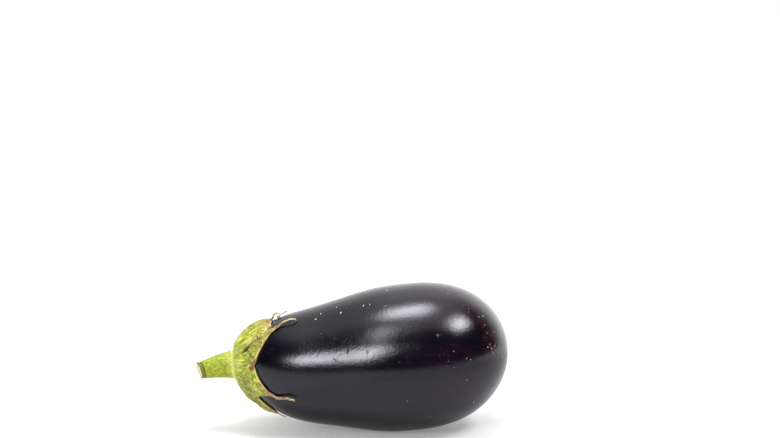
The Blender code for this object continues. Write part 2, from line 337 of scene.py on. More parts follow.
def lying_offset():
    """What moves the tilted fruit to the frame's own fruit, from the frame's box."""
    polar, around = np.meshgrid(np.linspace(0, math.pi, 121), np.linspace(0, 2 * math.pi, 181))
    points = tilted(skin(polar, around)).reshape(-1, 3)
    low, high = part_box("fruit")
    middle = (low.y + high.y) / 2 - (points[:, 1].min() + points[:, 1].max()) / 2
    return np.array((high.x - points[:, 0].max(), middle, high.z - points[:, 2].max()))


OFFSET = lying_offset()


def lying(points):
    return tilted(points) + OFFSET


def over_skin(distance, degrees, lift=0.0):
    """A point this far over the skin from the stem, in the frame's axes."""
    polar = polar_at(np.asarray(distance, float))
    around = np.radians(degrees)
    return lying(skin(polar, around) + skin_normal(polar, around) * lift)


def smooth_path(places, share):
    """Points on the smooth curve through the places, at shares of the way from first to last."""
    places = np.array(places, float)
    spans = len(places) - 1
    span = np.minimum((share * spans).astype(int), spans - 1)
    t = (share * spans - span)[..., None]
    a, b = places[np.maximum(span - 1, 0)], places[span]
    c, d = places[span + 1], places[np.minimum(span + 2, spans)]
    return b + 0.5 * t * ((c - a) + t * ((2 * a - 5 * b + 4 * c - d) + t * (3 * b - a - 3 * c + d)))


def grain(points, scale, seed=0.0, stretch=(1, 1, 1)):
    """Smooth noise at each point, from about -1 to 1."""
    flat = (np.asarray(points) * scale * np.array(stretch) + seed).reshape(-1, 3)
    values = np.array([noise.noise(Vector(place)) for place in flat])
    return values.reshape(np.shape(points)[:-1])


def noise_height(points, rows):
    """The sum of some rows of noise at each point, in millimetres."""
    return sum(height * grain(points, *settings) for height, *settings in rows)


def grid_faces(rows, columns, start=0, closed=True):
    """Quads between neighbouring rows of points, closed round each row or open."""
    faces = []
    for row in range(rows - 1):
        near, far = start + row * columns, start + (row + 1) * columns
        for i in range(columns if closed else columns - 1):
            j = (i + 1) % columns
            faces.append((near + i, near + j, far + j, far + i))
    return faces


def tube_faces(rows, columns):
    """The faces of closed rows of points, and a fan at each end, whose middles come after them."""
    faces = grid_faces(rows, columns)
    count = rows * columns
    last = count - columns
    for i in range(columns):
        j = (i + 1) % columns
        faces.append((count, j, i))
        faces.append((count + 1, last + i, last + j))
    return faces


def add_object(name, data):
    obj = bpy.data.objects.new(name, data)
    bpy.context.scene.collection.objects.link(obj)
    return obj


def mesh_object(name, points, faces, attributes):
    """A smooth mesh object at the origin, with a number or a vector at each point for each attribute."""
    mesh = bpy.data.meshes.new(name)
    mesh.from_pydata(points.tolist(), [], faces)
    for title, values in attributes.items():
        values = np.asarray(values, np.float32)
        kind, field = ("FLOAT", "value") if values.ndim == 1 else ("FLOAT_VECTOR", "vector")
        mesh.attributes.new(title, kind, "POINT").data.foreach_set(field, values.reshape(-1))
    mesh.shade_smooth()
    return add_object(name, mesh)


def point_outwards(obj):
    """Turns every face of a closed mesh outwards, and smooths it."""
    bm = bmesh.new()
    bm.from_mesh(obj.data)
    bm.normal_update()
    bmesh.ops.recalc_face_normals(bm, faces=bm.faces[:])
    bm.to_mesh(obj.data)
    bm.free()
    obj.data.shade_smooth()
    return obj


def as_plain_mesh(obj):
    """Replaces the object's mesh by its evaluated one, and removes its modifiers."""
    graph = bpy.context.evaluated_depsgraph_get()
    mesh = bpy.data.meshes.new_from_object(obj.evaluated_get(graph))
    obj.modifiers.clear()
    obj.data = mesh
    mesh.name = obj.name


def read_values(elements, field, width):
    """One field of every element, as rows of numbers."""
    values = np.empty(len(elements) * width, np.float32)
    elements.foreach_get(field, values)
    return values.reshape(-1, width).astype(float)


def lumpy_skin(polar, around):
    """Points on the finished skin, with its low lumps, in the frame's axes."""
    own = skin(polar, around)
    height = noise_height(own, SKIN_LUMPS) * MM * np.sin(polar) ** 0.5
    points = lying(own + skin_normal(polar, around) * height[..., None])
    points[..., 2] = np.maximum(points[..., 2], 0)
    return points


def skin_mesh():
    """The skin as rings of points from pole to pole, pressed flat where it lies, with its faces and
    how far along each point is."""
    polar = np.linspace(0, math.pi, FRUIT_RINGS + 1)[1:-1]
    around = np.linspace(0, 2 * math.pi, FRUIT_SIDES, endpoint=False)
    polar, around = np.meshgrid(polar, around, indexing="ij")
    rings = lumpy_skin(polar, around).reshape(-1, 3)
    poles = lying(np.array((skin(0.0, 0.0), skin(math.pi, 0.0))))
    reach = np.concatenate(((polar / math.pi).reshape(-1), (0, 1)))
    return np.concatenate((rings, poles)), tube_faces(FRUIT_RINGS - 1, FRUIT_SIDES), reach


def build_fruit():
    points, faces, reach = skin_mesh()
    marks = {"reach": reach, "rusty": spots_mask(RUSTY_PLACES, points)}
    return point_outwards(mesh_object("skin_of_fruit", points, faces, marks))


def speck_tree():
    """Low corky domes on the skin: one at each loose point that has a half width, and more scattered
    over the faces where the attribute dusty is high."""
    tree = bpy.data.node_groups.new("specks on the skin", "GeometryNodeTree")
    for title, kind in (
        ("Skin", "Geometry"), ("Density", "Float"), ("Smallest", "Float"), ("Largest", "Float"),
        ("Flatness", "Float"), ("Seed", "Int"), ("Material", "Material"),
    ):
        tree.interface.new_socket(title, in_out="INPUT", socket_type="NodeSocket" + kind)
    tree.interface.new_socket("Specks", in_out="OUTPUT", socket_type="NodeSocketGeometry")
    given = tree.nodes.new("NodeGroupInput").outputs
    result = tree.nodes.new("NodeGroupOutput").inputs

    def named(name, kind="FLOAT"):
        node = add_node(tree, "GeometryNodeInputNamedAttribute", {"Name": name}, data_type=kind)
        return node.outputs["Attribute"]

    def chance(low, high, seed):
        inputs = {2: low, 3: high, "Seed": sums("ADD", given["Seed"], seed)}
        return add_node(tree, "FunctionNodeRandomValue", inputs, data_type="FLOAT").outputs[1]

    has_width = sums("GREATER_THAN", named("half_width"), 1e-6)
    placed = add_node(tree, "GeometryNodeMeshToPoints", {"Mesh": given["Skin"], "Selection": has_width})
    strewn = add_node(tree, "GeometryNodeDistributePointsOnFaces", {
        "Mesh": given["Skin"], "Density": product(named("dusty"), given["Density"]), "Seed": given["Seed"],
    })
    sized = add_node(tree, "GeometryNodeStoreNamedAttribute", {
        "Geometry": strewn.outputs["Points"], "Name": "half_width",
        "Value": chance(given["Smallest"], given["Largest"], 1),
    }, data_type="FLOAT", domain="POINT")
    both = tree.nodes.new("GeometryNodeJoinGeometry")
    tree.links.new(placed.outputs[0], both.inputs[0])
    tree.links.new(sized.outputs[0], both.inputs[0])
    dome = add_node(tree, "GeometryNodeMeshUVSphere", {"Segments": 7, "Rings": 4, "Radius": 1.0})
    turn = chance(0.0, 6.283, 2)
    spin = add_node(tree, "FunctionNodeAxisAngleToRotation", {"Axis": (0, 0, 1), "Angle": turn})
    upright = add_node(tree, "FunctionNodeAlignRotationToVector", {
        "Rotation": spin.outputs[0], "Vector": named("out", "FLOAT_VECTOR"),
    }, axis="Z")
    radius = named("half_width")
    size = add_node(tree, "ShaderNodeCombineXYZ", {
        0: product(radius, chance(0.75, 1.5, 3)), 1: product(radius, chance(0.55, 1.0, 4)),
        2: product(radius, given["Flatness"]),
    })
    domes = add_node(tree, "GeometryNodeInstanceOnPoints", {
        "Points": both.outputs[0], "Instance": dome.outputs[0], "Rotation": upright.outputs[0],
        "Scale": size.outputs[0],
    })
    real = add_node(tree, "GeometryNodeRealizeInstances", {0: domes.outputs[0]})
    inputs = {"Geometry": real.outputs[0], "Material": given["Material"]}
    done = add_node(tree, "GeometryNodeSetMaterial", inputs)
    tree.links.new(done.outputs[0], result[0])
    return tree


def build_specks(material):
    """The specks on the skin, from the tree above, as one plain mesh."""
    points, faces, reach = skin_mesh()
    distance, degrees, half_width, tone = np.array(SPECKS).T
    polar, around = polar_at(distance * MM), np.radians(degrees)
    rusty = spots_mask(RUSTY_PLACES, points)
    clusters = smooth_step(grain(points, 45, 6.0), 0.0, 0.5)
    dusty = STREWN_EVENLY + STREWN_CLUSTERS * clusters + STREWN_RUSTY * rusty
    dusty = dusty * (points[:, 2] > STREWN_LOWEST) * (reach > STREWN_START)
    out = points - FRUIT_MIDDLE
    out[:, 0] *= END_LEAN * (np.abs(out[:, 0]) > FRUIT_BARREL)
    obj = mesh_object("specks_on_skin", np.concatenate((points, lumpy_skin(polar, around))), faces, {
        "half_width": np.concatenate((0 * reach, half_width * MM)),
        "tone": np.concatenate((rusty, tone)),
        "dusty": np.concatenate((dusty, 0 * tone)),
        "out": np.concatenate((out, tilted(skin_normal(polar, around)))),
    })
    modifier = obj.modifiers.new("specks", "NODES")
    modifier.node_group = speck_tree()
    for title, value in (
        ("Density", SPECK_DENSITY), ("Smallest", SMALLEST_SPECK), ("Largest", LARGEST_SPECK),
        ("Flatness", SPECK_FLATNESS), ("Seed", SPECK_SEED), ("Material", material),
    ):
        modifier[modifier.node_group.interface.items_tree[title].identifier] = value
    as_plain_mesh(obj)
    return point_outwards(obj)


# One lobe's points, with a value at each of them for what the relief and the colours need
Sheet = namedtuple("Sheet", "points thickness reach degrees crown flesh thread across")


def beside_fold(index):
    """Whether the lobe lies under the fold, and whether its far edge is the one on top."""
    return index == FOLD_LOBE, (index + 1) % len(LOBES) == FOLD_LOBE


def lobe_sheet(index):
    """One lobe as a sheet of points just off the skin."""
    lobe, following = LOBES[index], LOBES[(index + 1) % len(LOBES)]
    row = np.arange(SHEET_ROWS, dtype=float)[:, None]
    across = np.linspace(-1, 1, LOBE_COLUMNS + 1)[None, :]
    crown = np.clip(row / CROWN_ROWS, 0, 1)
    flesh = np.clip((row - CROWN_ROWS) / FLESH_ROWS, 0, 1)
    thread = np.clip((row - CROWN_ROWS - FLESH_ROWS) / THREAD_ROWS, 0, 1)

    first = mix(lobe.crown, lobe.valley, crown)
    last = mix(following.crown, following.valley, crown) + (360 if following.valley < lobe.valley else 0)
    under, over = beside_fold(index)
    bow = FOLD_BOW * np.sin(math.pi * crown)
    first, last = first + bow * under, last + bow * over
    point_reach = lobe.point_reach * MM
    girth = np.linalg.norm(skin(polar_at(point_reach), math.radians(lobe.point))[1:])
    thread_width = mix(THREAD_ROOT_HALF_WIDTH, THREAD_HALF_WIDTH, smooth_step(thread, 0, 0.45))
    uneven = 1 + 0.16 * np.sin(thread * 19 + index) + 0.12 * np.sin(thread * 43 + 2.1 * index)
    thread_angle = thread_width * uneven / girth * (1 - THREAD_NARROWING * thread)
    narrowing = (1 - flesh) ** lobe.taper
    path = smooth_path([(0.0, 0.0, 0.0), *lobe.thread], thread)
    past = path[..., 0]
    sideways = path[..., 1] + 0.35 * np.sin(thread * 27 + index) * thread
    lift = path[..., 2] + 0.1 * np.sin(thread * 21 + 2 * index) * thread

    valley_reach = mix(lobe.valley_reach, following.valley_reach, (across + 1) / 2) * MM
    base = mix(CALYX_HOLE, valley_reach + lobe.bow * MM * (1 - across**2), crown)
    sinus = smooth_step(crown, 0.8, 1) * (1 - smooth_step(flesh, 0.0, 0.25)) * np.abs(across) ** 4
    reach = mix(base, point_reach, flesh) + (past + SINUS_FILL * sinus) * MM
    degrees = lobe.point + (mix(first, last, (across + 1) / 2) - lobe.point) * narrowing
    around = np.radians(degrees + sideways) + across * thread_angle * (1 - narrowing)
    share = np.minimum(1, reach / point_reach)
    body = mix(FLESH_THICKNESS, THREAD_THICKNESS, share**4)
    rim = np.minimum(body, MARGIN_THICKNESS)
    thickness = mix(body, rim, np.abs(across) ** 2.5 * crown**2)
    stout = mix(THREAD_STOUTNESS[index], 0.9, smooth_step(thread, 0.1, 0.6))
    round_thread = THREAD_THICKNESS * (0.3 + 0.75 * np.sqrt(np.clip(1 - across**2, 0, 1))) * stout
    thickness = mix(thickness, round_thread, smooth_step(thread + flesh, 0.97, 1.12))
    polar = polar_at(reach)
    points = skin(polar, around) + skin_normal(polar, around) * (SKIN_GAP + lift * MM)[..., None]
    values = (thickness, reach, np.degrees(around), crown, flesh, thread, across)
    flat = [np.broadcast_to(value, reach.shape).reshape(-1) for value in values]
    return Sheet(points.reshape(-1, 3), *flat)


def round_calyx(reach, degrees):
    """Places for noise and streaks that run along the calyx and close round it."""
    around = np.radians(degrees)
    return np.stack((reach, NOISE_RADIUS * np.cos(around), NOISE_RADIUS * np.sin(around)), axis=-1)


def lobe_relief(index, sheet):
    """How far the flesh stands over its smooth thickness, in metres: collar, midrib, veins, the
    valleys between lobes, the fold where one lobe lies over its neighbour, and fine wrinkles."""
    _, _, reach, degrees, crown, flesh, thread, across = sheet
    leafy = smooth_step(crown, 0.1, 0.7) * (1 - smooth_step(flesh, 0.45, 0.9))
    whole = 1 - smooth_step(flesh + thread, 0.75, 1.0)
    collar = COLLAR_RISE * np.exp(-np.maximum(0, reach - CALYX_HOLE) / MM / COLLAR_WIDTH)
    midrib = MIDRIB_RISE * np.exp(-((across / MIDRIB_WIDTH) ** 2)) * leafy
    veins = VEIN_RISE * np.cos(across * VEIN_WAVES + 1.3 * index) * leafy * (1 - np.abs(across) ** 4)
    joined = smooth_step(crown, 0.15, 0.6) * (1 - smooth_step(flesh, 0.0, 0.12))
    groove = np.exp(-(((1 - np.abs(across)) / VALLEY_WIDTH) ** 2))
    valley = -VALLEY_DEPTH * groove * joined * smooth_step(crown, 0.5, 1.0)
    under, over = beside_fold(index)
    if under:
        edge = 1 - smooth_step(across, -1.0, -0.8)
        hollow = (1 - edge) * (1 - smooth_step(across, -0.7, 0.2))
        valley = np.where(across < 0, 0, valley) + (FOLD_LIP * edge - FOLD_DEPTH * hollow) * joined
    if over:
        valley = np.where(across > 0, 0, valley) + FOLD_LIP * smooth_step(across, 0.55, 0.92) * joined
    place = round_calyx(reach * NOISE_STRETCH, degrees)
    wrinkles = noise_height(place, CALYX_WRINKLES) * smooth_step(crown, 0.0, 0.25)
    ridged = RELIEF_BED + midrib + veins + wrinkles
    return (collar + ridged * whole + valley) * MM


def lobe_marks(index, sheet):
    """What the colours need at each point of a lobe, with painted shade along the fold."""
    _, thickness, reach, degrees, crown, flesh, thread, across = sheet
    under, over = beside_fold(index)
    # Painted shade: darkens the lower lobe beside the fold, where the lobe above it would shadow it
    painted_fold_shade = (1 - smooth_step(across, -0.92, -0.6)) * (1 - smooth_step(flesh, 0.1, 0.5))
    return {
        "flesh": flesh,
        "thread": thread,
        "thickness": thickness,
        "over": round_calyx(reach, degrees),
        "edge": np.abs(across) * smooth_step(crown, 0.93, 1),
        "lip": over * 1.02 * across * smooth_step(crown, 0.25, 0.4),
        "painted_fold_shade": under * painted_fold_shade * smooth_step(crown, 0.25, 0.45),
    }


def spot_share(points, distance, degrees, radius, edge=1.25):
    """1 at the middle of a spot on the skin, falling to 0 past its radius."""
    middle = over_skin(distance * MM, degrees, SKIN_GAP)
    away = np.linalg.norm(points - middle, axis=1) / (radius * MM)
    return 1 - smooth_step(away, 0.45, edge)


def spots_mask(spots, points):
    """How strongly each point lies in one of the ragged spots, from 0 to 1."""
    mask = np.zeros(len(points))
    ragged = 1 + 0.45 * grain(points, 700, 5.0)
    for distance, degrees, radius, strength in spots:
        share = spot_share(points, distance, degrees, radius / ragged)
        mask = np.maximum(mask, strength * share)
    return mask


def hug_stem(places, reach):
    """Draws the collar in to the stem, so that calyx and stem look grown together."""
    share = np.linspace(0, 0.6, 91)
    middle, _, side, up = stem_frame(share)
    middle, side, up = lying(middle), tilted(side), tilted(up)
    near = np.argmin(np.linalg.norm(places[:, None] - middle[None], axis=2), axis=1)
    spoke = places - middle[near]
    length = np.linalg.norm(spoke, axis=1)
    around = np.arctan2(np.sum(spoke * side[near], axis=1), np.sum(spoke * up[near], axis=1))
    target = stem_radius(share[near], around) - COLLAR_OVERLAP * MM
    pull = 1 - smooth_step((reach - CALYX_HOLE) / MM, 0, COLLAR_PULL_REACH)
    return places - spoke / length[:, None] * (np.maximum(0, length - target) * pull)[:, None]


def thickened(calyx, thickness):
    """Closes the sheet's seams and thickens it outwards, by each point's own thickness. The number
    of points that are on the outside comes back: Solidify puts them first."""
    group = calyx.vertex_groups.new(name="thickness")
    for i, value in enumerate(thickness):
        group.add([i], min(1.0, value / FLESH_THICKNESS), "REPLACE")
    weld = calyx.modifiers.new("weld", "WELD")
    weld.merge_threshold = WELD_DISTANCE
    as_plain_mesh(calyx)
    outside = len(calyx.data.vertices)
    thicken = calyx.modifiers.new("thickness", "SOLIDIFY")
    thicken.thickness = FLESH_THICKNESS
    thicken.offset = 1
    thicken.vertex_group = group.name
    as_plain_mesh(calyx)
    return outside


def build_calyx():
    """The six lobes as one sheet, thickened outwards, then given their relief."""
    columns = LOBE_COLUMNS + 1
    sheets = [lobe_sheet(index) for index in range(len(LOBES))]
    faces = []
    for index in range(len(sheets)):
        faces += grid_faces(SHEET_ROWS, columns, index * SHEET_ROWS * columns, closed=False)
    points = lying(np.concatenate([sheet.points for sheet in sheets]))
    lobes = [lobe_marks(index, sheet) for index, sheet in enumerate(sheets)]
    marks = {name: np.concatenate([lobe[name] for lobe in lobes]) for name in lobes[0]}
    marks["dry_place"] = spots_mask(DRY_PATCHES, points)
    marks["bruise_and_painted_shade"] = spots_mask(BRUISES_AND_PAINTED_SHADE, points)
    relief = np.concatenate([lobe_relief(index, sheet) for index, sheet in enumerate(sheets)])
    relief -= BRUISE_DEPTH * MM * marks["bruise_and_painted_shade"]
    body = smooth_step(marks["thickness"], MARGIN_THICKNESS, 2 * MARGIN_THICKNESS)
    for distance, degrees, radius, height in HUMPS:
        relief += height * MM * spot_share(points, distance, degrees, radius, 1.6) * body
    marks["relief"] = np.maximum(relief, LEAST_THICKNESS * MM - marks["thickness"]) / MM
    calyx = mesh_object("calyx_flesh", points, faces, marks)
    outside_count = thickened(calyx, marks["thickness"])

    mesh = calyx.data
    outside = np.arange(len(mesh.vertices)) < outside_count
    # under marks the inside sheet; the material paints it and the lower half of each rim dark as painted
    # shade
    mesh.attributes.new("under", "FLOAT", "POINT").data.foreach_set("value", 1.0 - outside)
    heights = read_values(mesh.attributes["relief"].data, "value", 1) * MM * outside[:, None]
    reach = read_values(mesh.attributes["over"].data, "vector", 3)[:, 0]
    places = read_values(mesh.vertices, "co", 3) + read_values(mesh.vertices, "normal", 3) * heights
    collar = np.where(outside & (reach < CALYX_HOLE + COLLAR_PULL_REACH * MM))[0]
    places[collar] = hug_stem(places[collar], reach[collar])
    places[:, 2] = np.maximum(places[:, 2], CALYX_FLOOR_GAP)
    mesh.vertices.foreach_set("co", places.reshape(-1))
    mesh.update()
    return point_outwards(calyx)


def stem_frame(share):
    """The stem's middle line at these shares of its length, with its direction and two spokes."""
    def centre(where):
        foot = skin(0.0, 0.0) - np.array((STEM_FOOT_LIFT, 0, 0))
        bend = where**STEM_BEND_POWER
        return foot + np.stack((-STEM_LENGTH * where, -STEM_SWING * bend, -STEM_SAG * bend), axis=-1)

    step = 1e-3
    along = centre(share + step) - centre(share)
    along /= np.linalg.norm(along, axis=-1, keepdims=True)
    side = np.cross(np.array((0.0, 0.0, 1.0)), along)
    side /= np.linalg.norm(side, axis=-1, keepdims=True)
    return centre(share), along, side, np.cross(along, side)


def stem_radius(share, around):
    """The solid's radius, with the pinch of the dried collar behind the cut."""
    radius = mix(STEM_CUT_RADIUS, STEM_FLARE_RADIUS, (1 - share) ** STEM_FLARE_POWER)
    buried = np.maximum(0, 1 - share * STEM_LENGTH / STEM_FOOT_DEPTH)
    ridges = STEM_RIDGE_HEIGHT * np.cos(STEM_RIDGES * (around + STEM_TWIST * share))
    pinch = COLLAR_PINCH * np.exp(-(((share - COLLAR_SHARE - 0.03) / 0.035) ** 2))
    return radius - STEM_FOOT_TAPER * buried + ridges * (1 - buried) - pinch


def build_stem():
    """The stem's side as rings from the foot to the cut, then rings over the cut to its middle."""
    share = np.concatenate((np.linspace(0, 1, STEM_RINGS + 1), np.ones(CUT_RINGS)))[:, None]
    inwards = np.concatenate((np.ones(STEM_RINGS + 1), np.linspace(1, 0, CUT_RINGS + 2)[1:-1]))[:, None]
    around = np.linspace(0, 2 * math.pi, STEM_SIDES, endpoint=False)[None, :]
    share, inwards, around = np.broadcast_arrays(share, inwards, around)
    centre, along, side, up = stem_frame(share)
    radius = stem_radius(share, around)
    round_place = np.stack((np.cos(around), np.sin(around), share * STEM_NOISE_LENGTH), axis=-1)
    collar = smooth_step(share, COLLAR_SHARE - 0.02, COLLAR_SHARE + 0.02)
    wrinkles = noise_height(round_place, STEM_WRINKLES) + collar * noise_height(round_place, COLLAR_WRINKLES)
    radius = (radius + wrinkles * MM * smooth_step(share, 0.12, 0.25)) * inwards
    slant = radius * np.cos(around) * math.tan(CUT_SLANT) * share**4
    rim = np.exp(-(((inwards - 0.93) / 0.06) ** 2)) * CUT_RIM * (inwards < 1)
    dish = CUT_DISH * (1 - inwards**4) * (inwards < 1) - rim
    spoke = up * np.cos(around)[..., None] + side * np.sin(around)[..., None]
    points = centre + spoke * radius[..., None] + along * (slant - dish)[..., None]

    foot, _, _, _ = stem_frame(np.array(0.0))
    cut, cut_along, _, _ = stem_frame(np.array(1.0))
    ends = np.array((foot, cut - cut_along * CUT_DISH))
    points = lying(np.concatenate((points.reshape(-1, 3), ends)))
    marks = {
        "share": np.concatenate((share.reshape(-1), (0, 1))),
        "inwards": np.concatenate((1 - inwards.reshape(-1), (0, 1))),
    }
    return point_outwards(mesh_object("stem_bark", points, tube_faces(len(share), STEM_SIDES), marks))


def set_inputs(node, inputs):
    """Sets a node's inputs to plain values, or links them to other sockets."""
    for name, value in inputs.items():
        if isinstance(value, bpy.types.NodeSocket):
            node.id_data.links.new(value, node.inputs[name])
        else:
            node.inputs[name].default_value = value


def add_node(tree, kind, inputs=None, **settings):
    """A node with its settings and inputs. tree may also be a socket in the tree that is meant."""
    node = tree.id_data.nodes.new(kind)
    for name, value in settings.items():
        setattr(node, name, value)
    set_inputs(node, inputs or {})
    return node


def sums(operation, *values):
    """The result of one sum on numbers and sockets."""
    socket = next(value for value in values if isinstance(value, bpy.types.NodeSocket))
    inputs = dict(enumerate(values))
    return add_node(socket, "ShaderNodeMath", inputs, operation=operation).outputs[0]


def product(first, second):
    return sums("MULTIPLY", first, second)


def scaled(value, factor, more):
    """The value times a factor, plus more."""
    return sums("MULTIPLY_ADD", value, factor, more)


def greatest(first, *others):
    for other in others:
        first = sums("MAXIMUM", first, other)
    return first


def vector_sum(operation, first, second):
    """The outputs of one sum on two vectors, or on a vector and its scale."""
    inputs = {0: first, "Scale" if operation == "SCALE" else 1: second}
    return add_node(first, "ShaderNodeVectorMath", inputs, operation=operation).outputs


def span(value, low, high, start=0, end=1):
    """A value spread smoothly from one range to another."""
    inputs = {"Value": value, "From Min": low, "From Max": high, "To Min": start, "To Max": end}
    return add_node(value, "ShaderNodeMapRange", inputs, interpolation_type="SMOOTHSTEP").outputs["Result"]


def cloud(place, scale, detail=3, roughness=0.55, distortion=0):
    """Soft noise from 0 to 1."""
    inputs = {"Vector": place, "Scale": scale, "Detail": detail, "Roughness": roughness}
    return add_node(place, "ShaderNodeTexNoise", inputs | {"Distortion": distortion}).outputs["Fac"]


def cells(place, scale):
    """The distance to the nearest of scattered points."""
    return add_node(place, "ShaderNodeTexVoronoi", {"Vector": place, "Scale": scale}).outputs["Distance"]


def blend_colour(share, first, second):
    """From the first colour to the second by a share. Each is a socket, or red, green and blue."""
    colours = [(*value, 1) if isinstance(value, tuple) else value for value in (first, second)]
    inputs = {0: share, 6: colours[0], 7: colours[1]}
    return add_node(share, "ShaderNodeMix", inputs, data_type="RGBA").outputs[2]


def layered(colour, *layers):
    """A colour with others laid over it in turn, each by its share."""
    for share, layer in layers:
        colour = blend_colour(share, colour, layer)
    return colour


def parts_of(vector):
    return add_node(vector, "ShaderNodeSeparateXYZ", {0: vector}).outputs


def object_place(tree):
    return add_node(tree, "ShaderNodeTexCoord").outputs["Object"]


def turned_place(tree):
    """Object coordinates turned to the fruit's own axis."""
    inputs = {"Vector": object_place(tree), "Rotation": (0, TILT, 0)}
    return add_node(tree, "ShaderNodeMapping", inputs).outputs[0]


def unturned(vector):
    """A place or direction of the frame, as turned_place gives it."""
    x, y, z = vector
    return x * math.cos(TILT) + z * math.sin(TILT), y, z * math.cos(TILT) - x * math.sin(TILT)


def stretched(place, stretch):
    return add_node(place, "ShaderNodeMapping", {"Vector": place, "Scale": stretch}).outputs[0]


def attribute(tree, name, output="Fac"):
    return add_node(tree, "ShaderNodeAttribute", attribute_name=name).outputs[output]


def new_group(name, vectors, numbers, outputs):
    """An empty node group with inputs that are vectors, inputs that are numbers, and number outputs."""
    group = bpy.data.node_groups.new(name, "ShaderNodeTree")
    for title in vectors:
        group.interface.new_socket(title, in_out="INPUT", socket_type="NodeSocketVector")
    for title, value in numbers.items():
        socket = group.interface.new_socket(title, in_out="INPUT", socket_type="NodeSocketFloat")
        socket.default_value = value
    for title in outputs:
        group.interface.new_socket(title, in_out="OUTPUT", socket_type="NodeSocketFloat")
    return group, group.nodes.new("NodeGroupInput").outputs, group.nodes.new("NodeGroupOutput")


def stroke_group():
    """A mask of one short stroke that narrows towards its ends: 1 on its middle line, 0 outside."""
    group, given, result = new_group(
        "stroke in the skin", ("Place", "Middle", "Along"),
        {"Half Length": 0.001, "Half Width": 0.0003}, ("Mask", "Distance"),
    )
    away = vector_sum("SUBTRACT", given["Place"], given["Middle"])[0]
    reach = vector_sum("DOT_PRODUCT", away, given["Along"])["Value"]
    nearest_end = sums("MINIMUM", reach, given["Half Length"])
    held = greatest(nearest_end, product(given["Half Length"], -1))
    nearest = vector_sum("SCALE", given["Along"], held)[0]
    gap = vector_sum("DISTANCE", away, nearest)["Value"]
    along = sums("DIVIDE", held, given["Half Length"])
    taper = scaled(product(along, along), -0.65, 1)
    share = sums("DIVIDE", gap, product(given["Half Width"], taper))
    set_inputs(result, {"Mask": span(share, 1, 0), "Distance": share})
    return group


def tissue_group():
    """What calyx and stem share: soft blotches, grain, dark freckles, fine dots, and a height."""
    group, given, result = new_group(
        "green tissue", ("Place",),
        {"Blotch Scale": 260, "Grain Scale": 900, "Freckle Scale": 420, "Freckle Size": 0.16},
        ("Blotch", "Grain", "Freckles", "Dark Dots", "Pale Dots", "Height"),
    )
    place, grain_scale = given["Place"], given["Grain Scale"]
    blotch = cloud(place, given["Blotch Scale"], 4, 0.6, 0.6)
    fine = cloud(place, grain_scale, 3, 0.65, 0.3)
    pits = cells(place, given["Freckle Scale"])
    rare = span(cloud(place, 240, 1), 0.42, 0.56)
    freckles = product(span(pits, given["Freckle Size"], 0), rare)
    bumps = cells(place, product(grain_scale, 0.9))
    dots = cloud(place, product(grain_scale, 1.35), 3, 0.7)
    set_inputs(result, {
        "Blotch": span(blotch, 0.3, 0.7),
        "Grain": span(fine, 0.25, 0.75),
        "Freckles": freckles,
        "Dark Dots": span(dots, 0.49, 0.36),
        "Pale Dots": span(dots, 0.51, 0.66),
        "Height": scaled(bumps, -0.35, scaled(fine, 0.7, freckles)),
    })
    return group


def new_material(name):
    material = bpy.data.materials.new(name)
    material.use_nodes = True
    return material, material.node_tree, material.node_tree.nodes["Principled BSDF"]


def bump(height, strength, distance, normal=None):
    inputs = {"Height": height, "Strength": strength, "Distance": distance}
    if normal is not None:
        inputs["Normal"] = normal
    return add_node(height, "ShaderNodeBump", inputs).outputs["Normal"]


def stroke_lean(distance, degrees, lean):
    """The direction of a stroke on the skin that leans this many degrees from the fruit's length."""
    here = over_skin(distance * MM, degrees)
    lengthways = over_skin((distance + 1) * MM, degrees) - here
    sideways = over_skin(distance * MM, degrees + 2) - here
    lengthways /= np.linalg.norm(lengthways)
    sideways /= np.linalg.norm(sideways)
    along = lengthways * math.cos(math.radians(lean)) - sideways * math.sin(math.radians(lean))
    return along / np.linalg.norm(along)


